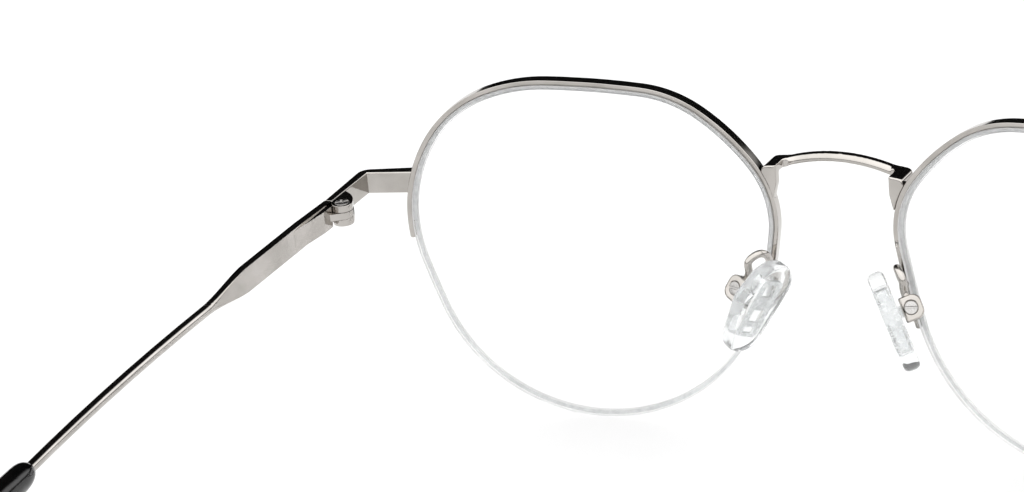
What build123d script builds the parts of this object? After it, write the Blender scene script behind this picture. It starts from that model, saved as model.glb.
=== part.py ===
"""Half-rim round eyeglasses: a metal upper rim, nylon cords under the lenses, adjustable nose pads
and folding temples.

Millimetres, +Z up.  The front faces -Y and the temples run towards +Y.  Left and right are the
wearer's own, so left is +X.  The glasses stand on a table on the bottoms of the lenses and the ends
of the temple tips.  Every left part is drawn once and the right one is its mirror image.
"""
import os
from math import cos, radians, sin, sqrt, tan

from build123d import *

os.makedirs("parts", exist_ok=True)

# ---- Overall layout ------------------------------------------------------------------------------
LENS_SPACING = 67.6  # between the middles of the two lens outlines
WRAP = 8.0  # degrees each lens turns back towards the temple
TILT = 2.5  # degrees the top of the front leans forward
TEMPLE_LENGTH = 145.0  # hinge to the end of the tip, along the bend
DEPTH_CENTRE = 70.58  # from the middle of the front back to the middle of the whole depth

# ---- Lens outline --------------------------------------------------------------------------------
# A chain of arcs that meet smoothly, walked anticlockwise from the lowest point: radius and turn.
# The two bottom arcs have no radius of their own: theirs is whatever closes the chain.
OUTLINE_BOTTOM = 24.57
OUTLINE_ARCS = [
    (None, 68.5),  # bottom, up to the temple side
    (82.0, 5.0),  # temple side, nearly straight
    (20.9, 52.0),  # upper temple corner
    (16.6, 33.5),  # upper temple corner, tighter part
    (22.7, 21.0),  # brow
    (188.0, 4.0),  # top, nearly flat
    (15.6, 31.0),  # corner towards the nose
    (30.7, 17.5),  # slanting flank
    (12.8, 45.5),  # nose shoulder
    (84.0, 7.0),  # nose side, nearly straight
    (None, 75.0),  # bottom, from the nose side
]

# ---- Lens, rim and cord sections (offsets are outward from the lens outline) ---------------------
LENS_RADIUS = 106.0  # ball that the middle of the lens follows
OUTLINE_RADIUS = 24.5  # where that ball meets the lens plane
LENS_HALF = 0.75  # half of the lens thickness
GROOVE_DEPTH = 0.6
GROOVE_HALF = 0.3
GROOVE_MIDDLE = 0.2  # the groove, cord and liner lie this far in front of the lens middle
RIM_INNER = 0.05
RIM_OUTER = 0.74
RIM_FRONT = 1.35  # from the middle of the lens thickness to the rim's front face
RIM_BACK = 0.45
RIM_ROUND = 0.3
CHANNEL_OUTER = 0.36
CHANNEL_HALF = 0.32
LINER_INNER = -0.45
LINER_OUTER = 0.34
LINER_HALF = 0.27
CORD_INNER = -0.5
CORD_OUTER = -0.04
CORD_HALF = 0.23
RIM_END_TEMPLE = 0.0  # height of the rim's end on the temple side, from the lens middle
RIM_END_NOSE = -8.2
CORD_TUCK = 2.5  # length of cord hidden in each end of the rim
REACH = 40.0  # larger than the lens either way
DEEP = 10.0  # larger than the lens is thick or bulged
GROOVE_RADIUS = LENS_RADIUS + GROOVE_MIDDLE
LINER_LAP = 0.1  # the cord reaches this far into the liner
SAME = 0.01  # points closer than this lie at the same height
OVER = 1.0  # how far a cut runs past the solid

# ---- Bridge --------------------------------------------------------------------------------------
ARCH_FRONT = -6.5
ARCH_BACK = -5.0
LEG_FRONT = -3.6
LEG_BACK = -2.2
ARCH_TOP = 14.18
ARCH_TOP_END = (7.3, 13.05)
ARCH_BOTTOM = 13.1
ARCH_BOTTOM_END = (7.5, 11.8)
ARCH_BEVEL = 0.5
FINE_BEVEL = 0.12
SHOULDER = (9.75, 12.75)  # where the arch turns down into the leg
SHOULDER_ROUND = 0.7
SHOULDER_BEND = 1.6
LEG_OUTSIDE = [(10.4, 10.4), (9.2, 7.8)]  # inside the rim, which trims the leg
LEG_TIP = (8.5, 7.8)
LEG_INSIDE = 7.85
LEG_TOP = 11.7  # below this the leg is as thin as the rim
INNER_ROUND = 0.6
ARCH_CORNER = 0.5  # inside corner from the arch back to the leg, seen from above

# ---- End pieces and hinges -----------------------------------------------------------------------
BAR_HEIGHT = 3.0
BAR_THICK = 1.7  # near the rim
BAR_BACK_THICK = 1.05  # at the hinge
HINGE_RISE = 7.7  # middle of the hinge above the middle of the lens
BAR_START = (57.2, 2.35)  # inside the rim, back face
BAR_BEND = (64.4, 4.3)
OUTER_BEND = 1.3  # from the inside of the bend sideways to its outside
OUTER_DROP = 0.95  # and forward
BEND_ROUND = 1.9
LONG_EDGE = 2.2  # top edges longer than this run along the bar
HINGE_X = 63.3
HINGE_Y = 13.9
SPLAY = 2.5  # degrees each temple opens outward
KNUCKLE_RADIUS = 1.4
KNUCKLE_HEIGHT = 0.94
KNUCKLE_GAP = 0.05
LUG_FRONT = 3.6  # how far in front of the axis the hinge lug starts
LUG_BELLY = (-0.5, -2.15)  # the lug's hollow side passes through here, from the axis
KNUCKLE_ROOM = 0.25  # round the middle knuckle
KNUCKLE_OPENING = 4.0  # length of the slot for the middle knuckle, behind the axis
SCREW_RADIUS = 0.6
SCREW_CLEAR = 0.02
PIVOT_CLEAR = 0.05
HEAD_RADIUS = 0.95
HEAD_THICK = 0.38
HEAD_SINK = 0.3
SLOT_WIDTH = 0.3
SLOT_DEPTH = 0.2
HEAD_BEVEL = 0.08
HINGE_SLOT_TURN = 35.0
CROSS_SLOT_SHORT = 0.6  # the cross slot is this much shorter than the head is wide

# ---- Temples -------------------------------------------------------------------------------------
BLADE_THICK = 1.05
BLADE_GAP = 0.1  # between the end piece and the blade when open
BLADE_FRONT_HEIGHT = 2.9
BLADE_HEIGHT = 3.4
BLADE_FULL = 8.0  # from the axis to where the blade has its full height
BLADE_END = 22.5
TAPER_END = 32.0
BLADE_ROUND = 0.01
NEARLY_ROUND = 0.99
# Sections of the taper: share of its length, then of the blade's thickness and height, and corner radius.
TAPER_SECTIONS = [(0.3, 1.03, 0.83, 0.15), (0.75, 1.2, 0.5, 0.45)]
WIRE_RADIUS = 0.74
BOW_TURN = 5.9  # degrees the wire turns back inward behind the blade
TIP_START = 78.2
EAR_START = 89.72
EAR_RADIUS = 24.0
EAR_TURN = 42.0
LEAF_START = 1.6  # how far behind the axis the hinge plate starts
LEAF_END = 10.0
LEAF_THICK = 0.8
LEAF_FLAT = 3.6  # the plate has its full thickness up to here
LEAF_TIP_THICK = 0.02
LEAF_LEAN = 0.07  # how far the plate leans out by the end of the knuckle's neck
NECK_START = (-0.6, 1.25)  # inside the knuckle, from the axis
NECK_BACK = (0.01, 0.25)
NECK_STEP = 0.05
NECK_LAP = 0.6  # length of neck that lies on the plate
# Sections of the tip: distance along it, half thickness and half height.
TIP_SECTIONS = [
    (0.0, 1.1, 1.15),
    (0.9, 1.42, 1.55),
    (3.0, 1.6, 1.8),
    (14.0, 1.6, 1.9),
    (24.0, 1.6, 2.1),
    (38.0, 1.6, 2.35),
    (57.8, 1.6, 2.8),
    (63.8, 1.45, 2.6),
    (66.0, 1.0, 1.9),
    (66.8, 0.4, 0.9),
]
CORE_SHORT = 9.0  # the wire stops this far before the end of the tip

# ---- Nose pads -----------------------------------------------------------------------------------
BOX_CENTRE = (11.95, 1.93, -3.23)
PAD_UP = (-0.453, -0.256, 0.855)  # long way of the pad, bottom to top
PAD_FACE = (-0.829, 0.479, -0.296)  # from the screw to the nose
BOX_FRONT = 1.2
BOX_BACK = 1.55
BOX_HALF_TALL = 1.7
BOX_HALF_WIDE = 1.25
BOX_BACK_FLAT = 0.5  # half the height of the flat part of the back
BOX_FRONT_ROUND = 0.25
POCKET_HALF_TALL = 1.2
POCKET_HALF_WIDE = 0.56
POCKET_BACK = 1.0
PAD_SCREW_RADIUS = 0.5
PAD_HEAD_RADIUS = 0.86
PAD_SLOT_TURN = 20.0
PAD_DISTANCE = 2.7  # screw to the middle of the pad's thickness
PAD_DROP = 0.73  # the pad's middle lies this far below the screw
PAD_FORWARD = 1.2  # and this far in front of it
PAD_THICK = 2.3
PAD_TOP_RADIUS = 3.5
PAD_TOP_CENTRE = 3.3
PAD_BOTTOM_RADIUS = 2.9
PAD_BOTTOM_CENTRE = 3.9
PAD_BULGE = (0.9, 1.0)  # middle of the fuller side, towards the face
PAD_BULGE_RADIUS = 3.2
PAD_ROUND = 0.8
CORE_LONG = 8.6
CORE_WIDE = 3.9
CORE_THICK = 0.9
CORE_WINDOW = 1.9
CORE_ROUND = 0.8
CORE_WINDOWS = [(2.75, 0), (-1.15, 0)]
CORE_LAST_WINDOW = (-3.3, 0)  # half as long as the others
TAB_HALF = 0.5
TAB_RADIUS = 0.85
TAB_WAIST = 0.2  # the tab is this much narrower between its eye and the plate
ARM_RADIUS = 0.52
# The pad arm leaves the rim backward and upward, loops over and comes down to the box.
ARM_POINTS = [(9.46, -2.6, -2.0), (9.1, -1.3, 0.1), (9.7, 0.5, 1.4), (10.75, 1.6, 0.55)]
ARM_WAY = (-0.1, 0.85, 0.5)
ARM_SEAT = (0.1, 0.05)  # where the arm enters the box, towards the nose and below its top


# ---- Placing -------------------------------------------------------------------------------------
stand = OUTLINE_BOTTOM * cos(radians(TILT)) + LENS_HALF * sin(radians(TILT))
front = Pos(0, -DEPTH_CENTRE, stand) * Rot(TILT, 0, 0)
lens_location = front * Pos(LENS_SPACING / 2, 0, 0) * Rot(0, 0, WRAP) * Rot(90, 0, 0)
lens_plane = Plane(lens_location)
lens_ball = lens_location * Pos(0, 0, OUTLINE_RADIUS**2 / (2 * LENS_RADIUS) - LENS_RADIUS)
hinge_base = Pos(0, -DEPTH_CENTRE, stand + HINGE_RISE)
bar_bottom = Plane(hinge_base * Pos(0, 0, -BAR_HEIGHT / 2))
hinge_plane = Plane(hinge_base * Pos(HINGE_X, HINGE_Y, 0))


def arc_step(heading, turn):
    """Where an arc of radius one ends, if it starts at the origin with this heading."""
    start = radians(heading)
    end = radians(heading + turn)
    return sin(end) - sin(start), cos(start) - cos(end)


def close_outline(arcs):
    """Fill in the two open radii, so that the chain of arcs ends where it starts."""
    open_steps = []
    gap_x = 0.0
    gap_y = 0.0
    heading = 0.0
    for radius, turn in arcs:
        step_x, step_y = arc_step(heading, turn)
        if radius is None:
            open_steps.append((step_x, step_y))
        else:
            gap_x -= radius * step_x
            gap_y -= radius * step_y
        heading += turn
    (ax, ay), (bx, by) = open_steps
    cross = ax * by - ay * bx
    found = [(gap_x * by - gap_y * bx) / cross, (ax * gap_y - ay * gap_x) / cross]
    return [(found.pop(0) if radius is None else radius, turn) for radius, turn in arcs]


outline_arcs = close_outline(OUTLINE_ARCS)


def trace_outline(offset):
    """Draw the lens outline, moved outward by offset, into the open line."""
    x = 0.0
    y = -OUTLINE_BOTTOM - offset
    heading = 0.0
    for radius, turn in outline_arcs:
        size = radius + offset
        way = radians(heading)
        JernArc(start=(x, y), tangent=(cos(way), sin(way)), radius=size, arc_size=turn)
        step_x, step_y = arc_step(heading, turn)
        x += size * step_x
        y += size * step_y
        heading += turn


def trace_above(nose_end, temple_end):
    """Draw the region above the two given heights, one on each side of the lens."""
    Polyline(
        (REACH, temple_end),
        (0, temple_end),
        (0, nose_end),
        (-REACH, nose_end),
        (-REACH, REACH),
        (REACH, REACH),
        close=True,
    )


# ---- Lens groove: the space the cord and the liner sit in ----------------------------------------
with BuildPart() as lens_groove:
    with BuildSketch(lens_plane):
        with BuildLine():
            trace_outline(RIM_OUTER)
        make_face()
        with BuildLine():
            trace_outline(-GROOVE_DEPTH)
        make_face(mode=Mode.SUBTRACT)
    extrude(amount=DEEP, both=True)
    with Locations(lens_ball):
        Sphere(GROOVE_RADIUS + GROOVE_HALF, rotation=(90, 0, 0), mode=Mode.INTERSECT)
        Sphere(GROOVE_RADIUS - GROOVE_HALF, rotation=(90, 0, 0), mode=Mode.SUBTRACT)

# ---- Lens: an even, curved pane with a groove all round its edge ---------------------------------
with BuildPart() as left_lens:
    with BuildSketch(lens_plane):
        with BuildLine():
            trace_outline(0)
        make_face()
    extrude(amount=DEEP, both=True)
    with Locations(lens_ball):
        Sphere(LENS_RADIUS + LENS_HALF, rotation=(90, 0, 0), mode=Mode.INTERSECT)
        Sphere(LENS_RADIUS - LENS_HALF, rotation=(90, 0, 0), mode=Mode.SUBTRACT)
    add(lens_groove.part, mode=Mode.SUBTRACT)

# ---- Rim: a channelled metal wire over the upper part of the lens --------------------------------
with BuildPart() as rim_channel:
    with BuildSketch(lens_plane):
        with BuildLine():
            trace_outline(CHANNEL_OUTER)
        make_face()
    extrude(amount=DEEP, both=True)
    with Locations(lens_ball):
        Sphere(GROOVE_RADIUS + CHANNEL_HALF, rotation=(90, 0, 0), mode=Mode.INTERSECT)
        Sphere(GROOVE_RADIUS - CHANNEL_HALF, rotation=(90, 0, 0), mode=Mode.SUBTRACT)

with BuildPart() as left_rim:
    with BuildSketch(lens_plane) as rim_sketch:
        with BuildLine():
            trace_outline(RIM_OUTER)
        make_face()
        with BuildLine():
            trace_outline(RIM_INNER)
        make_face(mode=Mode.SUBTRACT)
        with BuildLine():
            trace_above(RIM_END_NOSE, RIM_END_TEMPLE)
        make_face(mode=Mode.INTERSECT)
        end_heights = (RIM_END_NOSE, RIM_END_TEMPLE)
        rim_ends = [v for v in rim_sketch.vertices() if min(abs(v.Y - h) for h in end_heights) < SAME]
        fillet(rim_ends, radius=RIM_ROUND)
    extrude(amount=DEEP, both=True)
    with Locations(lens_ball):
        Sphere(LENS_RADIUS + RIM_FRONT, rotation=(90, 0, 0), mode=Mode.INTERSECT)
        Sphere(LENS_RADIUS - RIM_BACK, rotation=(90, 0, 0), mode=Mode.SUBTRACT)
    add(rim_channel.part, mode=Mode.SUBTRACT)

# The filled outline of the rim trims whatever is brazed to it.
with BuildPart() as rim_envelope:
    with BuildSketch(lens_plane):
        with BuildLine():
            trace_outline(RIM_OUTER)
        make_face()
    extrude(amount=DEEP, both=True)

# ---- Liner: the clear strip between the rim and the lens groove ----------------------------------
with BuildPart() as left_liner:
    with BuildSketch(lens_plane):
        with BuildLine():
            trace_outline(LINER_OUTER)
        make_face()
        with BuildLine():
            trace_outline(LINER_INNER)
        make_face(mode=Mode.SUBTRACT)
        with BuildLine():
            trace_above(RIM_END_NOSE + CORD_TUCK, RIM_END_TEMPLE + CORD_TUCK)
        make_face(mode=Mode.INTERSECT)
    extrude(amount=DEEP, both=True)
    with Locations(lens_ball):
        Sphere(GROOVE_RADIUS + LINER_HALF, rotation=(90, 0, 0), mode=Mode.INTERSECT)
        Sphere(GROOVE_RADIUS - LINER_HALF, rotation=(90, 0, 0), mode=Mode.SUBTRACT)

# ---- Cord: the nylon line that holds the lower edge of the lens ----------------------------------
with BuildPart() as left_cord:
    with BuildSketch(lens_plane):
        with BuildLine():
            trace_outline(CORD_OUTER)
        make_face()
        with BuildLine():
            trace_outline(CORD_INNER)
        make_face(mode=Mode.SUBTRACT)
        with BuildLine():
            trace_above(RIM_END_NOSE + CORD_TUCK - LINER_LAP, RIM_END_TEMPLE + CORD_TUCK - LINER_LAP)
        make_face(mode=Mode.SUBTRACT)
    extrude(amount=DEEP, both=True)
    with Locations(lens_ball):
        Sphere(GROOVE_RADIUS + CORD_HALF, rotation=(90, 0, 0), mode=Mode.INTERSECT)
        Sphere(GROOVE_RADIUS - CORD_HALF, rotation=(90, 0, 0), mode=Mode.SUBTRACT)

# ---- Bridge: a bevelled arch with a leg brazed to each rim ---------------------------------------
bridge_plane = Plane(front * Pos(0, LEG_BACK, 0) * Rot(90, 0, 0))
shoulder_plane = Plane(front)
right_half = [(-x, y) for x, y in LEG_OUTSIDE]
# A square bar along the arch's back upper edge cuts its bevel.
with BuildLine(Plane(front * Pos(0, ARCH_BACK, 0) * Rot(90, 0, 0))) as crown_line:
    ThreePointArc((-ARCH_TOP_END[0], ARCH_TOP_END[1]), (0, ARCH_TOP), ARCH_TOP_END)
crown_start = Plane(origin=crown_line.line @ 0, x_dir=Plane(front).y_dir, z_dir=crown_line.line % 0)
with BuildPart() as arch_bevel:
    with BuildSketch(crown_start):
        Rectangle(sqrt(2) * ARCH_BEVEL, sqrt(2) * ARCH_BEVEL, rotation=45)
    sweep(path=crown_line.line)
with BuildPart() as bridge:
    with BuildSketch(bridge_plane) as bridge_sketch:
        with BuildLine():
            ThreePointArc((-ARCH_TOP_END[0], ARCH_TOP_END[1]), (0, ARCH_TOP), ARCH_TOP_END)
            Polyline(ARCH_TOP_END, SHOULDER, *LEG_OUTSIDE, LEG_TIP, ARCH_BOTTOM_END)
            ThreePointArc(ARCH_BOTTOM_END, (0, ARCH_BOTTOM), (-ARCH_BOTTOM_END[0], ARCH_BOTTOM_END[1]))
            Polyline(
                (-ARCH_BOTTOM_END[0], ARCH_BOTTOM_END[1]),
                (-LEG_TIP[0], LEG_TIP[1]),
                *right_half[::-1],
                (-SHOULDER[0], SHOULDER[1]),
                (-ARCH_TOP_END[0], ARCH_TOP_END[1]),
            )
        make_face()
        shoulders = [v for v in bridge_sketch.vertices() if abs(v.Y - SHOULDER[1]) < SAME]
        fillet(shoulders, radius=SHOULDER_ROUND)
        inner_corners = [v for v in bridge_sketch.vertices() if abs(v.Y - ARCH_BOTTOM_END[1]) < SAME]
        fillet(inner_corners, radius=INNER_ROUND)
    extrude(amount=LEG_BACK - ARCH_FRONT)
    # Seen from above, the arch stands in front of the rims and its ends turn back to the legs.
    with BuildSketch(shoulder_plane) as plan_sketch:
        with Locations((0, (ARCH_FRONT + LEG_BACK) / 2)):
            Rectangle(2 * LEG_OUTSIDE[0][0], LEG_BACK - ARCH_FRONT)
        fillet(plan_sketch.vertices().group_by(Axis.Y)[0], radius=SHOULDER_BEND)
        with Locations((0, (ARCH_BACK + LEG_BACK + OVER) / 2)):
            RectangleRounded(2 * LEG_INSIDE, LEG_BACK + OVER - ARCH_BACK, ARCH_CORNER, mode=Mode.SUBTRACT)
    extrude(amount=REACH, mode=Mode.INTERSECT)
    with BuildSketch(shoulder_plane):
        with Locations((0, (ARCH_FRONT - OVER + LEG_FRONT) / 2)):
            Rectangle(REACH, LEG_FRONT + OVER - ARCH_FRONT)
    extrude(amount=LEG_TOP, mode=Mode.SUBTRACT)
    add(arch_bevel.part, mode=Mode.SUBTRACT)
    add(rim_envelope.part, mode=Mode.SUBTRACT)
    mirror(rim_envelope.part, about=Plane.YZ, mode=Mode.SUBTRACT)

# ---- End piece: a flat bar from the rim, bent back to the hinge ----------------------------------
splay_run = tan(radians(SPLAY))
bend_x, bend_y = BAR_BEND
bar_end_y = HINGE_Y - BLADE_GAP / 2
bar_end_x = bend_x + (bar_end_y - bend_y) * splay_run
start_x, start_y = BAR_START
bar_lean = BAR_THICK * (bend_y - start_y) / (bend_x - start_x)
outer_corner = (bend_x + OUTER_BEND, bend_y + OUTER_BEND * splay_run - OUTER_DROP)
with BuildPart() as left_end_piece:
    with BuildSketch(bar_bottom) as bar_sketch:
        with BuildLine():
            Polyline(
                (start_x, start_y),
                (bend_x, bend_y),
                (bar_end_x, bar_end_y),
                (bar_end_x + BAR_BACK_THICK, bar_end_y),
                outer_corner,
                (start_x + bar_lean, start_y - BAR_THICK),
                close=True,
            )
        make_face()
        fillet(bar_sketch.vertices().sort_by_distance(outer_corner)[0], radius=BEND_ROUND)
    extrude(amount=BAR_HEIGHT)
    top_edges = left_end_piece.faces().sort_by(Axis.Z)[-1].edges()
    chamfer(top_edges.filter_by(lambda e: e.length > LONG_EDGE), length=FINE_BEVEL)
    add(rim_envelope.part, mode=Mode.SUBTRACT)

# ---- Front hinge leaf: a lug with the upper and lower knuckle ------------------------------------
stack_bottom = -1.5 * KNUCKLE_HEIGHT - KNUCKLE_GAP
stack_height = 3 * KNUCKLE_HEIGHT + 2 * KNUCKLE_GAP
with BuildPart() as left_front_leaf:
    with BuildSketch(hinge_plane.offset(stack_bottom)):
        Circle(KNUCKLE_RADIUS)
        with BuildLine():
            lug_front = (bend_x - HINGE_X + (HINGE_Y - LUG_FRONT - bend_y) * splay_run, -LUG_FRONT)
            lug_back = (bar_end_x - HINGE_X, bar_end_y - HINGE_Y)
            Line(lug_front, lug_back)
            Line(lug_back, (-KNUCKLE_RADIUS, 0))
            ThreePointArc((-KNUCKLE_RADIUS, 0), LUG_BELLY, lug_front)
        make_face()
    extrude(amount=stack_height)
    with BuildSketch(hinge_plane.offset(-KNUCKLE_HEIGHT / 2 - KNUCKLE_GAP)):
        Circle(KNUCKLE_RADIUS + KNUCKLE_ROOM)
        with Locations((0, KNUCKLE_OPENING / 2)):
            Rectangle(2 * KNUCKLE_RADIUS + 2 * OVER, KNUCKLE_OPENING)
    extrude(amount=KNUCKLE_HEIGHT + 2 * KNUCKLE_GAP, mode=Mode.SUBTRACT)
    with BuildSketch(hinge_plane.offset(stack_bottom)):
        Circle(SCREW_RADIUS + SCREW_CLEAR)
    extrude(amount=stack_height, mode=Mode.SUBTRACT)
    with BuildSketch(hinge_plane.offset(-stack_bottom)):
        Circle(HEAD_RADIUS + 2 * SCREW_CLEAR)
    extrude(amount=-HEAD_SINK, mode=Mode.SUBTRACT)

# ---- Hinge screw: a headed pin with crossed slots ------------------------------------------------
head_bottom = -stack_bottom - HEAD_SINK
with BuildPart() as left_hinge_screw:
    with BuildSketch(hinge_plane.offset(stack_bottom)):
        Circle(SCREW_RADIUS)
    extrude(amount=stack_height - HEAD_SINK + HEAD_THICK / 2)
    with BuildSketch(hinge_plane.offset(head_bottom)):
        Circle(HEAD_RADIUS)
    extrude(amount=HEAD_THICK)
    chamfer(left_hinge_screw.edges().group_by(Axis.Z)[-1], length=HEAD_BEVEL)
    with BuildSketch(hinge_plane.offset(head_bottom + HEAD_THICK)):
        with Locations(Location((0, 0), HINGE_SLOT_TURN)):
            Rectangle(2 * HEAD_RADIUS + OVER, SLOT_WIDTH)
            Rectangle(SLOT_WIDTH, 2 * HEAD_RADIUS - CROSS_SLOT_SHORT)
    extrude(amount=-SLOT_DEPTH, mode=Mode.SUBTRACT)

# ---- Temple: a flat blade that tapers into a round wire ------------------------------------------
blade_x = bar_end_x - HINGE_X + BLADE_THICK / 2
blade_location = hinge_base * Pos(HINGE_X + blade_x, HINGE_Y, 0) * Rot(0, 0, 90 - SPLAY) * Rot(90, 0, 0)
blade_plane = Plane(blade_location)
wire_location = blade_location * Pos(TAPER_END, 0, 0)
bow_length = TIP_START - TAPER_END
bow_radius = bow_length / radians(BOW_TURN)
bow_sweep = radians(BOW_TURN)
tip_location = wire_location * Pos(bow_radius * sin(bow_sweep), 0, -bow_radius * (1 - cos(bow_sweep)))
tip_location = tip_location * Rot(0, BOW_TURN, 0)
tip_plane = Plane(tip_location)
ear_length = TEMPLE_LENGTH - EAR_START - EAR_RADIUS * radians(EAR_TURN)
with BuildLine(Plane(wire_location * Rot(90, 0, 0))) as bow_line:
    JernArc(start=(0, 0), tangent=(1, 0), radius=bow_radius, arc_size=-BOW_TURN)
with BuildLine(tip_plane) as core_line:
    straight = Line((0, 0), (EAR_START - TIP_START, 0))
    ear_bend = JernArc(start=straight @ 1, tangent=(1, 0), radius=EAR_RADIUS, arc_size=-EAR_TURN)
    PolarLine(ear_bend @ 1, ear_length - CORE_SHORT, angle=-EAR_TURN)
with BuildPart() as left_temple:
    with BuildSketch(blade_plane) as blade_sketch:
        with BuildLine():
            Polyline(
                (BLADE_GAP / 2, BLADE_FRONT_HEIGHT / 2),
                (BLADE_FULL, BLADE_HEIGHT / 2),
                (BLADE_END, BLADE_HEIGHT / 2),
                (BLADE_END, -BLADE_HEIGHT / 2),
                (BLADE_FULL, -BLADE_HEIGHT / 2),
                (BLADE_GAP / 2, -BLADE_FRONT_HEIGHT / 2),
                close=True,
            )
        make_face()
    extrude(amount=BLADE_THICK / 2, both=True)
    blade_end = Plane(
        origin=blade_plane.from_local_coords((BLADE_END, 0, 0)),
        x_dir=blade_plane.z_dir,
        z_dir=blade_plane.x_dir,
    )
    taper = TAPER_END - BLADE_END
    with BuildSketch(blade_end):
        RectangleRounded(BLADE_THICK, BLADE_HEIGHT, BLADE_ROUND)
    for share, thick_share, height_share, round_radius in TAPER_SECTIONS:
        with BuildSketch(blade_end.offset(share * taper)):
            RectangleRounded(BLADE_THICK * thick_share, BLADE_HEIGHT * height_share, round_radius)
    with BuildSketch(blade_end.offset(taper)):
        RectangleRounded(2 * WIRE_RADIUS, 2 * WIRE_RADIUS, NEARLY_ROUND * WIRE_RADIUS)
    loft()
    with BuildSketch(Plane(origin=bow_line.line @ 0, z_dir=bow_line.line % 0)):
        Circle(WIRE_RADIUS)
    sweep(path=bow_line.line)
    with BuildSketch(Plane(origin=core_line.line @ 0, z_dir=core_line.line % 0)):
        Circle(WIRE_RADIUS)
    sweep(path=core_line.line)

# ---- Temple hinge leaf: the middle knuckle on a plate that tapers into the blade -----------------
inner_x = blade_x - BLADE_THICK / 2 / cos(radians(SPLAY))
with BuildPart() as left_temple_leaf:
    with BuildSketch(hinge_plane.offset(-KNUCKLE_HEIGHT / 2)):
        Circle(KNUCKLE_RADIUS)
        with BuildLine():
            Polyline(
                NECK_START,
                (inner_x - LEAF_THICK + NECK_STEP, LEAF_START + NECK_LAP),
                (inner_x + LEAF_LEAN, LEAF_START + NECK_LAP),
                (inner_x + NECK_BACK[0], NECK_BACK[1]),
                (0, 0),
                close=True,
            )
        make_face()
    extrude(amount=KNUCKLE_HEIGHT)
    with BuildSketch(hinge_plane.offset(-BLADE_FRONT_HEIGHT / 2)):
        with BuildLine():
            Polyline(
                (inner_x + LEAF_START * splay_run, LEAF_START),
                (inner_x - LEAF_THICK + LEAF_START * splay_run, LEAF_START),
                (inner_x - LEAF_THICK + LEAF_FLAT * splay_run, LEAF_FLAT),
                (inner_x + LEAF_END * splay_run - LEAF_TIP_THICK, LEAF_END),
                (inner_x + LEAF_END * splay_run, LEAF_END),
                close=True,
            )
        make_face()
    extrude(amount=BLADE_FRONT_HEIGHT)
    with BuildSketch(hinge_plane.offset(-KNUCKLE_HEIGHT)):
        Circle(SCREW_RADIUS + PIVOT_CLEAR)
    extrude(amount=2 * KNUCKLE_HEIGHT, mode=Mode.SUBTRACT)

# ---- Temple tip: a moulded sleeve over the wire, bent down behind the ear ------------------------
tip_end_line = EAR_START - TIP_START
with BuildLine(tip_plane) as tip_line:
    tip_straight = Line((0, 0), (tip_end_line, 0))
    tip_bend = JernArc(start=tip_straight @ 1, tangent=(1, 0), radius=EAR_RADIUS, arc_size=-EAR_TURN)
    PolarLine(tip_bend @ 1, ear_length, angle=-EAR_TURN)
tip_wire = tip_line.wires()[0]
tip_total = tip_wire.length
with BuildPart() as left_tip:
    for along, half_thick, half_tall in TIP_SECTIONS:
        point = tip_wire @ (along / tip_total)
        way = tip_wire % (along / tip_total)
        with BuildSketch(Plane(origin=point, z_dir=way, x_dir=tip_plane.z_dir)):
            Ellipse(half_thick, half_tall)
    loft()
    add(left_temple.part, mode=Mode.SUBTRACT)

# ---- Pad arm: a bent wire from the rim to the pad box --------------------------------------------
pad_up = Vector(*PAD_UP).normalized()
pad_face = Vector(*PAD_FACE).normalized()
pad_across = pad_face.cross(pad_up)
box_plane = Plane(front * Plane(origin=BOX_CENTRE, x_dir=pad_face, z_dir=pad_across).location)
box_top = box_plane.from_local_coords((ARM_SEAT[0], BOX_HALF_TALL - ARM_SEAT[1], 0))
arm_points = [Plane(front).from_local_coords(point) for point in ARM_POINTS]
with BuildLine() as arm_line:
    Spline(
        *arm_points,
        box_top,
        tangents=(Plane(front).from_local_coords(ARM_WAY) - Plane(front).origin, -box_plane.y_dir),
    )
with BuildPart() as left_pad_arm:
    with BuildSketch(Plane(origin=arm_line.line @ 0, z_dir=arm_line.line % 0)):
        Circle(ARM_RADIUS)
    sweep(path=arm_line.line)
    add(left_rim.part, mode=Mode.SUBTRACT)

# ---- Pad box: a small rounded box, open towards the nose, with the screw across it ---------------
with BuildPart() as left_pad_box:
    with BuildSketch(box_plane) as box_sketch:
        with Locations(((BOX_FRONT - BOX_BACK) / 2, 0)):
            Rectangle(BOX_FRONT + BOX_BACK, 2 * BOX_HALF_TALL)
        fillet(box_sketch.vertices().group_by(Axis.X)[0], radius=BOX_HALF_TALL - BOX_BACK_FLAT)
        fillet(box_sketch.vertices().group_by(Axis.X)[-1], radius=BOX_FRONT_ROUND)
    extrude(amount=BOX_HALF_WIDE, both=True)
    outer_face = left_pad_box.faces().sort_by(Axis(box_plane.origin, box_plane.z_dir))[-1]
    chamfer(outer_face.edges(), length=FINE_BEVEL)
    with BuildSketch(box_plane):
        with Locations(((BOX_FRONT + OVER - POCKET_BACK) / 2, 0)):
            Rectangle(BOX_FRONT + OVER + POCKET_BACK, 2 * POCKET_HALF_TALL)
    extrude(amount=POCKET_HALF_WIDE, both=True, mode=Mode.SUBTRACT)
    with BuildSketch(box_plane):
        Circle(PAD_SCREW_RADIUS + SCREW_CLEAR)
    extrude(amount=BOX_HALF_WIDE, both=True, mode=Mode.SUBTRACT)
    with BuildSketch(box_plane.offset(BOX_HALF_WIDE)):
        Circle(PAD_HEAD_RADIUS + 2 * SCREW_CLEAR)
    extrude(amount=-HEAD_SINK, mode=Mode.SUBTRACT)
    add(left_pad_arm.part, mode=Mode.SUBTRACT)

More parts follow.
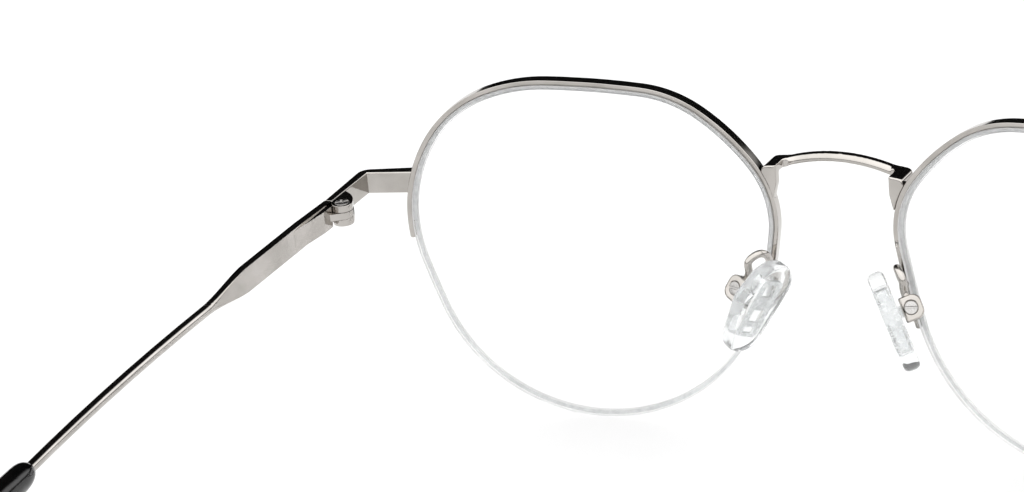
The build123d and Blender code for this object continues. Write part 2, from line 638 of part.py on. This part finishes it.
# ---- Pad screw: a slotted pin through the box and the pad's tab ----------------------------------
with BuildPart() as left_pad_screw:
    with BuildSketch(box_plane.offset(-BOX_HALF_WIDE)):
        Circle(PAD_SCREW_RADIUS)
    extrude(amount=2 * BOX_HALF_WIDE - HEAD_SINK / 2)
    with BuildSketch(box_plane.offset(BOX_HALF_WIDE - HEAD_SINK)):
        Circle(PAD_HEAD_RADIUS)
    extrude(amount=HEAD_THICK)
    with BuildSketch(box_plane.offset(BOX_HALF_WIDE - HEAD_SINK + HEAD_THICK)):
        with Locations(Location((0, 0), PAD_SLOT_TURN)):
            Rectangle(2 * PAD_HEAD_RADIUS + OVER, SLOT_WIDTH)
    extrude(amount=-SLOT_DEPTH, mode=Mode.SUBTRACT)

# ---- Pad core: a stiff plate with windows, and the tab the screw holds ---------------------------
pad_origin = box_plane.from_local_coords((PAD_DISTANCE, -PAD_DROP, -PAD_FORWARD))
pad_plane = Plane(origin=pad_origin, x_dir=pad_up, z_dir=pad_face)
with BuildPart() as left_pad_core:
    with BuildSketch(pad_plane):
        RectangleRounded(CORE_LONG, CORE_WIDE, CORE_ROUND)
        with Locations(*CORE_WINDOWS):
            Rectangle(CORE_WINDOW, CORE_WINDOW, mode=Mode.SUBTRACT)
        with Locations(CORE_LAST_WINDOW):
            Rectangle(0.5 * CORE_WINDOW, CORE_WINDOW, mode=Mode.SUBTRACT)
    extrude(amount=CORE_THICK / 2, both=True)
    with BuildSketch(box_plane):
        Circle(TAB_RADIUS)
        with Locations((PAD_DISTANCE / 2, 0)):
            Rectangle(PAD_DISTANCE, 2 * TAB_RADIUS - TAB_WAIST)
    extrude(amount=TAB_HALF, both=True)
    with BuildSketch(box_plane):
        Circle(PAD_SCREW_RADIUS + PIVOT_CLEAR)
    extrude(amount=BOX_HALF_WIDE, both=True, mode=Mode.SUBTRACT)

# ---- Nose pad: a soft clear oval moulded round the core ------------------------------------------
with BuildPart() as left_nose_pad:
    with BuildSketch(pad_plane.offset(-PAD_THICK / 2)) as pad_sketch:
        with BuildLine():
            CenterArc((PAD_TOP_CENTRE, 0), PAD_TOP_RADIUS, 0, 360)
            CenterArc((-PAD_BOTTOM_CENTRE, 0), PAD_BOTTOM_RADIUS, 0, 360)
            CenterArc(PAD_BULGE, PAD_BULGE_RADIUS, 0, 360)
        make_hull()
    extrude(amount=PAD_THICK)
    fillet(left_nose_pad.edges(), radius=PAD_ROUND)
    add(left_pad_core.part, mode=Mode.SUBTRACT)

# ---- Files: the bridge once, every other part as a left and a right one --------------------------
left_parts = {
    "rim": left_rim,
    "liner": left_liner,
    "lens": left_lens,
    "cord": left_cord,
    "end_piece": left_end_piece,
    "front_leaf": left_front_leaf,
    "hinge_screw": left_hinge_screw,
    "temple_leaf": left_temple_leaf,
    "temple": left_temple,
    "tip": left_tip,
    "pad_arm": left_pad_arm,
    "pad_box": left_pad_box,
    "pad_screw": left_pad_screw,
    "pad_core": left_pad_core,
    "nose_pad": left_nose_pad,
}
bridge.part.label = "bridge"
export_step(bridge.part, "parts/bridge.step")
for name, left in left_parts.items():
    left.part.label = "left_" + name
    export_step(left.part, "parts/left_" + name + ".step")
    with BuildPart() as right:
        mirror(left.part, about=Plane.YZ)
    right.part.label = "right_" + name
    export_step(right.part, "parts/right_" + name + ".step")
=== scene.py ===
# %% [markdown]
# # Half-rim eyeglasses
# This lesson dresses a pair of round, half-rimmed metal eyeglasses. The metal parts, lenses and tips
# arrive as solids that already have their right sizes, so most of the work here is finish: how polished
# metal, clear silicone, nylon line and black acetate meet the light.
#
# The first step loads the solids. Everything after it is in metres, in the same frame: the front of the
# glasses faces -Y, the temples run towards +Y, and the wearer's left is +X.

# %% Load the solids
from math import radians

import bpy
from mathutils import Matrix, Vector

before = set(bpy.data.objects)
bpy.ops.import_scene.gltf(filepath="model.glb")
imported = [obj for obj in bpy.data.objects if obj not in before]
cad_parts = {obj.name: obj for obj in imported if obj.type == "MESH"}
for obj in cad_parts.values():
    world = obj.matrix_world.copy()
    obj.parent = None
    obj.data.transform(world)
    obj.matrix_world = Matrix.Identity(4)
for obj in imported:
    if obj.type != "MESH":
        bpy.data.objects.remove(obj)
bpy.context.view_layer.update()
MM = 0.001

# %% [markdown]
# ## Camera
# Small goods are shot from well back with a long lens, which keeps them from looking swollen. The camera
# stands behind the glasses, above the right shoulder of a wearer, and looks down at the left half of the
# front. A camera can be aimed with a constraint, but a matrix built from three plain angles is easier to
# read and adds nothing to the scene: turn round the upright axis, tip down, then roll a little.

# %% Camera
CAMERA_TURN = 207.51
CAMERA_RISE = 24.07
CAMERA_ROLL = -5.76
CAMERA_AWAY = 0.679
CAMERA_AIM = Vector((0.0459, -0.07051, 0.02308))
SENSOR_WIDTH = 36.0
FOCAL_LENGTH = 178.3

turn = Matrix.Rotation(radians(CAMERA_TURN), 4, "Z")
rise = Matrix.Rotation(radians(90 - CAMERA_RISE), 4, "X")
roll = Matrix.Rotation(radians(CAMERA_ROLL), 4, "Z")
aim = turn @ rise @ roll
camera_data = bpy.data.cameras.new("camera")
camera_data.sensor_width = SENSOR_WIDTH
camera_data.lens = FOCAL_LENGTH
camera_data.clip_start = 0.01
camera = bpy.data.objects.new("camera", camera_data)
bpy.context.scene.collection.objects.link(camera)
camera.matrix_world = Matrix.Translation(CAMERA_AIM) @ aim @ Matrix.Translation((0, 0, CAMERA_AWAY))
bpy.context.scene.camera = camera
print("camera stands at", [round(v, 4) for v in camera.matrix_world.translation])

# %% [markdown]
# ## Materials
# Each finish is one Principled shader with a little procedural life in it. This helper makes an empty
# material with that shader, and a second one adds a noise that is measured in metres, because the
# solids have no useful UV maps.

# %% Material helpers
def new_finish(name, colour, roughness, metallic=0.0):
    """A material with one Principled shader, and the shader itself."""
    finish = bpy.data.materials.new(name)
    finish.use_nodes = True
    shader = finish.node_tree.nodes["Principled BSDF"]
    shader.inputs["Base Color"].default_value = (*colour, 1)
    shader.inputs["Roughness"].default_value = roughness
    shader.inputs["Metallic"].default_value = metallic
    return finish, shader


def add_node(finish, kind, **settings):
    """A node of that kind in the material, with its settings."""
    node = finish.node_tree.nodes.new(kind)
    for name, value in settings.items():
        setattr(node, name, value)
    return node


def connect(finish, source, target):
    """A link from an output to an input."""
    finish.node_tree.links.new(source, target)


def grain(finish, size, stretch=(1, 1, 1), detail=3.0):
    """A noise whose spots are about size metres across, stretched along the axes by these shares."""
    place = add_node(finish, "ShaderNodeTexCoord")
    scale = add_node(finish, "ShaderNodeMapping")
    scale.inputs["Scale"].default_value = [1 / (size * s) for s in stretch]
    noise = add_node(finish, "ShaderNodeTexNoise")
    noise.inputs["Scale"].default_value = 1.0
    noise.inputs["Detail"].default_value = detail
    connect(finish, place.outputs["Object"], scale.inputs["Vector"])
    connect(finish, scale.outputs["Vector"], noise.inputs["Vector"])
    return noise.outputs["Fac"]


def remap(finish, value, low, high, start=0.3, end=0.7):
    """The value, taken from start..end to low..high."""
    node = add_node(finish, "ShaderNodeMapRange")
    node.inputs["From Min"].default_value = start
    node.inputs["From Max"].default_value = end
    node.inputs["To Min"].default_value = low
    node.inputs["To Max"].default_value = high
    connect(finish, value, node.inputs["Value"])
    return node.outputs["Result"]


def two_tones(finish, value, dark, light, start=0.35, end=0.65):
    """A colour that goes from dark to light with the value."""
    ramp = add_node(finish, "ShaderNodeValToRGB")
    ramp.color_ramp.elements[0].position = start
    ramp.color_ramp.elements[0].color = (*dark, 1)
    ramp.color_ramp.elements[1].position = end
    ramp.color_ramp.elements[1].color = (*light, 1)
    connect(finish, value, ramp.inputs["Fac"])
    return ramp.outputs["Color"]


def roughen(finish, shader, value, depth):
    """Bumps of that depth in metres, from the value."""
    bump = add_node(finish, "ShaderNodeBump")
    bump.inputs["Strength"].default_value = 1.0
    bump.inputs["Distance"].default_value = depth
    connect(finish, value, bump.inputs["Height"])
    connect(finish, bump.outputs["Normal"], shader.inputs["Normal"])


def paint(finish, *nodes):
    """Give the finish to these CAD nodes."""
    for name in nodes:
        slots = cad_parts[name].data.materials
        slots.clear()
        slots.append(finish)


def both(*names):
    """The left and the right node of each name."""
    return [side + name for side in ("left_", "right_") for name in names]


def clear_of_shadow(*names):
    """Clear parts throw no shadow, as light goes through them."""
    for name in both(*names):
        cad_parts[name].visible_shadow = False


print("the rims are named", both("rim"))


# %% [markdown]
# ## Broken edges
# No edge of polished metal is truly sharp. Tumbling and buffing round each one a little, and that small
# round catches a bright line. The solids have crisp edges. Sculpting them soft by hand would lose their
# size, so modifiers do it without touching the mesh: one welds the corners that neighbouring faces share,
# one joins the flat triangles back into whole faces, a bevel rounds the sharp edges that are left, and
# weighted normals keep the flats flat.

# %% Edge helper
FLAT_ANGLE = 1.5
SHARP_ANGLE = 32.0
WELD_DISTANCE = 0.001 * MM
BOX_EDGE = 0.16 * MM
BAR_EDGE = 0.06 * MM
RIM_EDGE = 0.1 * MM
SCREW_EDGE = 0.06 * MM


def break_edges(name, width, segments=3, clamp=False):
    """Round the sharp edges of a CAD node by that width in metres."""
    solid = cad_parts[name]
    weld = solid.modifiers.new("shared_corners", "WELD")
    weld.merge_threshold = WELD_DISTANCE
    join = solid.modifiers.new("join_flats", "DECIMATE")
    join.decimate_type = "DISSOLVE"
    join.angle_limit = radians(FLAT_ANGLE)
    bevel = solid.modifiers.new("broken_edge", "BEVEL")
    bevel.width = width
    bevel.segments = segments
    bevel.limit_method = "ANGLE"
    bevel.angle_limit = radians(SHARP_ANGLE)
    bevel.miter_outer = "MITER_ARC"
    bevel.use_clamp_overlap = clamp
    normals = solid.modifiers.new("keep_flats", "WEIGHTED_NORMAL")
    normals.keep_sharp = True


for name in both("pad_box"):
    break_edges(name, BOX_EDGE)
for name in both("end_piece", "front_leaf"):
    break_edges(name, BAR_EDGE)
for name in both("temple_leaf"):
    break_edges(name, BAR_EDGE, clamp=True)
for name in both("rim"):
    break_edges(name, RIM_EDGE)
for name in both("hinge_screw", "pad_screw"):
    break_edges(name, SCREW_EDGE)
print("broken edges on", sum(1 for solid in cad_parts.values() if solid.modifiers), "solids")

# %% [markdown]
# ## Bridge
# The bridge is a bent bar that is brazed to both rims, then filed and buffed until its shoulders flow into
# its legs. It is much softer than a bevel of one width can make it, and a wide bevel would fold over at the
# thin ends. A voxel remesh turns it into an even skin, and a few rounds of smoothing wear its corners down
# as buffing does. The voxels are a tenth of a millimetre, so the bar keeps its thickness.

# %% Bridge
BRIDGE_VOXEL = 0.1 * MM
BRIDGE_SMOOTHING = 30
SMOOTHING_SHARE = 0.5
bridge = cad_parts["bridge"]
bridge_skin = bridge.modifiers.new("even_skin", "REMESH")
bridge_skin.mode = "VOXEL"
bridge_skin.voxel_size = BRIDGE_VOXEL
bridge_skin.use_smooth_shade = True
bridge_buff = bridge.modifiers.new("buffed", "SMOOTH")
bridge_buff.factor = SMOOTHING_SHARE
bridge_buff.iterations = BRIDGE_SMOOTHING
print("bridge skin:", BRIDGE_VOXEL / MM, "mm voxels")

# %% [markdown]
# ## Polished metal
# The metal is a nickel alloy, ground, buffed and plated, so it is a warm light grey with hardly any colour.
# A chrome would be cooler and a steel duller. Buffing leaves very fine lines and slow waves; a noise finer
# than half a millimetre varies the roughness and lifts the surface by a few microns, and a slower noise
# changes the tone a little where fingers have dulled the plating.

# %% Polished metal
METAL_GREY = (0.45, 0.43, 0.4)
METAL_DULL = (0.4, 0.38, 0.355)
METAL_BRIGHT = (0.49, 0.465, 0.44)
METAL_GRAIN = 0.35 * MM
METAL_CLOUD = 5 * MM
METAL_WAVE = 1.5 * MM
WAVE_DEPTH = 0.008 * MM
METAL_ROUGHNESS = (0.05, 0.13)
metal, metal_shader = new_finish("polished_metal", METAL_GREY, 0.14, 1.0)
metal_grain = grain(metal, METAL_GRAIN, stretch=(1, 1, 3), detail=4.0)
connect(metal, remap(metal, metal_grain, *METAL_ROUGHNESS), metal_shader.inputs["Roughness"])
metal_cloud = grain(metal, METAL_CLOUD)
metal_tones = two_tones(metal, metal_cloud, METAL_DULL, METAL_BRIGHT)
connect(metal, metal_tones, metal_shader.inputs["Base Color"])
roughen(metal, metal_shader, grain(metal, METAL_WAVE, detail=1.0), WAVE_DEPTH)
metal_parts = both("rim", "end_piece", "front_leaf", "temple_leaf", "temple", "pad_arm", "pad_box")
paint(metal, "bridge", *metal_parts)
print("polished metal on", 1 + len(metal_parts), "solids")

# %% [markdown]
# ## Screws
# Screws are turned from stainless steel. Their heads keep fine turning marks, so they look a little duller
# than the buffed frame round them, and a screwdriver leaves bright scratches near the slot. A tighter noise
# with more roughness gives that.

# %% Screws
SCREW_GREY = (0.42, 0.41, 0.4)
SCREW_DULL = (0.34, 0.33, 0.32)
SCREW_BRIGHT = (0.52, 0.51, 0.5)
TURNING_MARKS = 0.12 * MM
MARK_DEPTH = 0.01 * MM
SCREW_ROUGHNESS = (0.22, 0.42)
screw_metal, screw_shader = new_finish("screw_metal", SCREW_GREY, 0.3, 1.0)
turning = grain(screw_metal, TURNING_MARKS, detail=5.0)
connect(screw_metal, remap(screw_metal, turning, *SCREW_ROUGHNESS), screw_shader.inputs["Roughness"])
screw_tones = two_tones(screw_metal, turning, SCREW_DULL, SCREW_BRIGHT)
connect(screw_metal, screw_tones, screw_shader.inputs["Base Color"])
roughen(screw_metal, screw_shader, turning, MARK_DEPTH)
paint(screw_metal, *both("hinge_screw", "pad_screw"))
print("screw metal on", both("hinge_screw", "pad_screw"))

# %% [markdown]
# ## Lenses
# The lenses are clear plastic with a coating that stops nearly all reflections, so what shows is their
# edge. Their faces are polished and their edge is ground matt, and the ground edge looks like a pale grey
# band. Two materials would need two meshes. Here one material asks how far each point's face is turned from
# the lens's axis, which runs along Y, and makes only the rim of the disc rough and whitish.

# %% Lenses
EDGE_FROM = 0.35
EDGE_TO = 0.75
GROUND_ROUGHNESS = 0.5
GROUND_CLEARNESS = 0.35
LENS_IOR = 1.5
COATING_GLOSS = 0.1
lens_clear, lens_shader = new_finish("lens", (1, 1, 1), 0.0)
lens_shader.inputs["IOR"].default_value = LENS_IOR
lens_shader.inputs["Specular IOR Level"].default_value = COATING_GLOSS
lens_facing = add_node(lens_clear, "ShaderNodeNewGeometry")
lens_sides = add_node(lens_clear, "ShaderNodeSeparateXYZ")
lens_size = add_node(lens_clear, "ShaderNodeMath", operation="ABSOLUTE")
connect(lens_clear, lens_facing.outputs["True Normal"], lens_sides.inputs["Vector"])
connect(lens_clear, lens_sides.outputs["Y"], lens_size.inputs[0])
lens_along = lens_size.outputs["Value"]
ground = remap(lens_clear, lens_along, GROUND_ROUGHNESS, 0.0, EDGE_FROM, EDGE_TO)
clearness = remap(lens_clear, lens_along, GROUND_CLEARNESS, 1.0, EDGE_FROM, EDGE_TO)
connect(lens_clear, ground, lens_shader.inputs["Roughness"])
connect(lens_clear, clearness, lens_shader.inputs["Transmission Weight"])
paint(lens_clear, *both("lens"))
clear_of_shadow("lens")
print("lens material:", len(lens_clear.node_tree.nodes), "nodes of shader")

# %% [markdown]
# ## Nylon cord and liner
# Below the metal each lens is held by a clear nylon line in a groove, and inside the metal a strip of the
# same nylon lines the channel. Drawn nylon is milky, with faint streaks along it. A pure glass would break
# into black and white dots on something so thin, so most of this is a soft white body.

# %% Nylon
NYLON_WHITE = (0.8, 0.81, 0.81)
NYLON_DARK = (0.7, 0.71, 0.71)
NYLON_LIGHT = (0.83, 0.84, 0.84)
STREAK_SIZE = 0.8 * MM
STREAK_DEPTH = 0.01 * MM
NYLON_CLEARNESS = 0.35
NYLON_IOR = 1.4
nylon, nylon_shader = new_finish("nylon", NYLON_WHITE, 0.35)
nylon_shader.inputs["Transmission Weight"].default_value = NYLON_CLEARNESS
nylon_shader.inputs["IOR"].default_value = NYLON_IOR
nylon_streaks = grain(nylon, STREAK_SIZE, detail=2.0)
nylon_tones = two_tones(nylon, nylon_streaks, NYLON_DARK, NYLON_LIGHT)
connect(nylon, nylon_tones, nylon_shader.inputs["Base Color"])
roughen(nylon, nylon_shader, nylon_streaks, STREAK_DEPTH)
paint(nylon, *both("cord", "liner"))
clear_of_shadow("cord", "liner")
print("nylon on", both("cord", "liner"))

# %% [markdown]
# ## Nose pads
# The pads are clear silicone moulded round a stiff plate with windows, which holds the mount. Silicone is
# never as clear as glass: it has a whitish bloom and a slightly wavy skin that picks up prints. Part of the
# shader is therefore a white body, and a slow bump bends the light. The plate is a harder, milkier plastic,
# so its outline and its windows show through.

# %% Silicone
SILICONE_WHITE = (0.93, 0.94, 0.94)
SKIN_WAVES = 1.2 * MM
SKIN_DEPTH = 0.02 * MM
SILICONE_CLEARNESS = 0.92
SILICONE_IOR = 1.41
SILICONE_ROUGHNESS = (0.03, 0.12)
silicone, silicone_shader = new_finish("clear_pad", SILICONE_WHITE, 0.08)
silicone_shader.inputs["Transmission Weight"].default_value = SILICONE_CLEARNESS
silicone_shader.inputs["IOR"].default_value = SILICONE_IOR
silicone_skin = grain(silicone, SKIN_WAVES, detail=3.0)
connect(silicone, remap(silicone, silicone_skin, *SILICONE_ROUGHNESS), silicone_shader.inputs["Roughness"])
roughen(silicone, silicone_shader, silicone_skin, SKIN_DEPTH)
paint(silicone, *both("nose_pad"))
clear_of_shadow("nose_pad")
print("silicone on", both("nose_pad"))

# %% Pad core
CORE_WHITE = (0.95, 0.96, 0.96)
CORE_DARK = (0.78, 0.79, 0.8)
CORE_LIGHT = (0.86, 0.87, 0.87)
CORE_MOTTLE = 0.6 * MM
CORE_CLEARNESS = 0.5
CORE_IOR = 1.35
CORE_ROUGHNESS = (0.2, 0.32)
core, core_shader = new_finish("pad_core", CORE_WHITE, 0.25)
core_shader.inputs["Transmission Weight"].default_value = CORE_CLEARNESS
core_shader.inputs["IOR"].default_value = CORE_IOR
core_skin = grain(core, CORE_MOTTLE)
core_tones = two_tones(core, core_skin, CORE_DARK, CORE_LIGHT)
connect(core, core_tones, core_shader.inputs["Base Color"])
connect(core, remap(core, core_skin, *CORE_ROUGHNESS), core_shader.inputs["Roughness"])
paint(core, *both("pad_core"))
clear_of_shadow("pad_core")
print("core plastic on", both("pad_core"))

# %% [markdown]
# ## Temple tips
# The tips are black acetate, tumbled until they shine. The polish isn't perfect: it has slow ripples and
# fine hairlines from being put down on tables. A long soft light then breaks into a streak with a living
# edge, which a perfectly smooth black would not show.

# %% Acetate
ACETATE_BLACK = (0.002, 0.002, 0.002)
ACETATE_DEEP = (0.0015, 0.0015, 0.0015)
ACETATE_WARM = (0.004, 0.0035, 0.0035)
HAIRLINE_SIZE = 0.3 * MM
TONE_SIZE = 4 * MM
RIPPLE_SIZE = 3 * MM
RIPPLE_DEPTH = 0.03 * MM
ACETATE_IOR = 1.45
ACETATE_ROUGHNESS = (0.06, 0.16)
acetate, acetate_shader = new_finish("black_acetate", ACETATE_BLACK, 0.12)
acetate_shader.inputs["IOR"].default_value = ACETATE_IOR
hairlines = grain(acetate, HAIRLINE_SIZE, stretch=(1, 8, 8), detail=4.0)
connect(acetate, remap(acetate, hairlines, *ACETATE_ROUGHNESS), acetate_shader.inputs["Roughness"])
acetate_tones = two_tones(acetate, grain(acetate, TONE_SIZE), ACETATE_DEEP, ACETATE_WARM)
connect(acetate, acetate_tones, acetate_shader.inputs["Base Color"])
roughen(acetate, acetate_shader, grain(acetate, RIPPLE_SIZE, detail=1.0), RIPPLE_DEPTH)
paint(acetate, *both("tip"))
print("acetate on", both("tip"))

# %% [markdown]
# ## Floor and lamp
# The floor is a plain matt white sheet, large enough for its edge to stay out of every view. It is one flat
# face, because it's only a stage. One round lamp hangs over the glasses. A small lamp would throw hard
# shadows of the thin rims, so this one is half a metre wide, and most of the light comes from the white
# surroundings in the next step.

# %% Floor
FLOOR_HALF = 2.0
FLOOR_WHITE = (0.9, 0.9, 0.9)
FLOOR_ROUGHNESS = 0.9
floor_mesh = bpy.data.meshes.new("floor")
floor_corners = [(-FLOOR_HALF, -FLOOR_HALF, 0), (FLOOR_HALF, -FLOOR_HALF, 0)]
floor_corners += [(FLOOR_HALF, FLOOR_HALF, 0), (-FLOOR_HALF, FLOOR_HALF, 0)]
floor_mesh.from_pydata(floor_corners, [], [(0, 1, 2, 3)])
floor = bpy.data.objects.new("floor", floor_mesh)
bpy.context.scene.collection.objects.link(floor)
floor_finish, floor_shader = new_finish("floor", FLOOR_WHITE, FLOOR_ROUGHNESS)
floor_shader.inputs["Specular IOR Level"].default_value = 0.0
floor_mesh.materials.append(floor_finish)
print("floor:", [round(v, 2) for v in floor.dimensions])

# %% Lamp
LAMP_PLACE = Vector((0.1, -0.15, 0.8))
LAMP_TARGET = Vector((0, -0.05, 0.02))
LAMP_WIDTH = 0.5
LAMP_WATTS = 1.3
lamp_data = bpy.data.lights.new("ceiling_lamp", "AREA")
lamp_data.shape = "DISK"
lamp_data.size = LAMP_WIDTH
lamp_data.energy = LAMP_WATTS
lamp = bpy.data.objects.new("ceiling_lamp", lamp_data)
bpy.context.scene.collection.objects.link(lamp)
lamp_turn = (LAMP_PLACE - LAMP_TARGET).to_track_quat("Z", "Y").to_matrix().to_4x4()
lamp.matrix_world = Matrix.Translation(LAMP_PLACE) @ lamp_turn
lamp.visible_glossy = False
lamp.visible_camera = False
print("lamp:", LAMP_WATTS, "W, at", tuple(round(v, 2) for v in LAMP_PLACE))

# %% [markdown]
# ## Surroundings
# Polished metal shows its surroundings more than itself. In a studio, a white table keeps upright faces
# pale, a black card beyond the table makes the faces that look up black, and a white ceiling and wall draw
# bright lines on the edges. The cards could be planes, but they would also shade the floor. A world shader
# does the same for mirrored rays only: one ramp darkens the side that the card stands on, another draws a
# dark line round the horizon, and all other rays see plain white.

# %% Surroundings
CARD_SIDE = (0.42, -0.81, 0.41)
CARD_RAMP = [(0.0, 1.0), (0.62, 1.0), (0.74, 0.003), (1.0, 0.003)]
HEIGHT_RAMP = [(0.0, 0.5), (0.49, 0.5), (0.5, 0.05), (0.54, 0.05), (0.58, 0.8), (1.0, 1.0)]
ROOM_LIGHT = 2.2
PLAIN_LIGHT = 1.1
world = bpy.data.worlds.new("studio")
bpy.context.scene.world = world
world.use_nodes = True
air = world.node_tree
air.nodes.clear()


def air_ramp(value, stops):
    """A grey for the value, from (place, grey) pairs."""
    node = air.nodes.new("ShaderNodeValToRGB")
    marks = node.color_ramp.elements
    while len(marks) < len(stops):
        marks.new(0.5)
    for mark, (place, grey) in zip(marks, stops):
        mark.position = place
        mark.color = (grey, grey, grey, 1)
    air.links.new(value, node.inputs["Fac"])
    return node.outputs["Color"]


ray_way = air.nodes.new("ShaderNodeTexCoord").outputs["Generated"]
towards_card = air.nodes.new("ShaderNodeVectorMath")
towards_card.operation = "DOT_PRODUCT"
towards_card.inputs[1].default_value = CARD_SIDE
air.links.new(ray_way, towards_card.inputs[0])
ray_height = air.nodes.new("ShaderNodeSeparateXYZ")
air.links.new(ray_way, ray_height.inputs["Vector"])
half_height = air.nodes.new("ShaderNodeMapRange")
half_height.inputs["From Min"].default_value = -1.0
air.links.new(ray_height.outputs["Z"], half_height.inputs["Value"])
room_grey = air.nodes.new("ShaderNodeMixRGB")
room_grey.blend_type = "MULTIPLY"
room_grey.inputs["Fac"].default_value = 1.0
air.links.new(air_ramp(towards_card.outputs["Value"], CARD_RAMP), room_grey.inputs[1])
air.links.new(air_ramp(half_height.outputs["Result"], HEIGHT_RAMP), room_grey.inputs[2])

# %% The room, for mirrored rays
room = air.nodes.new("ShaderNodeBackground")
room.inputs["Strength"].default_value = ROOM_LIGHT
plain = air.nodes.new("ShaderNodeBackground")
plain.inputs["Color"].default_value = (1, 1, 1, 1)
plain.inputs["Strength"].default_value = PLAIN_LIGHT
ray_kind = air.nodes.new("ShaderNodeLightPath")
mix = air.nodes.new("ShaderNodeMixShader")
air_out = air.nodes.new("ShaderNodeOutputWorld")
air.links.new(room_grey.outputs["Color"], room.inputs["Color"])
air.links.new(ray_kind.outputs["Is Glossy Ray"], mix.inputs["Fac"])
air.links.new(plain.outputs["Background"], mix.inputs[1])
air.links.new(room.outputs["Background"], mix.inputs[2])
air.links.new(mix.outputs["Shader"], air_out.inputs["Surface"])
bpy.context.scene.view_settings.view_transform = "Standard"
print("surroundings:", len(air.nodes), "nodes")
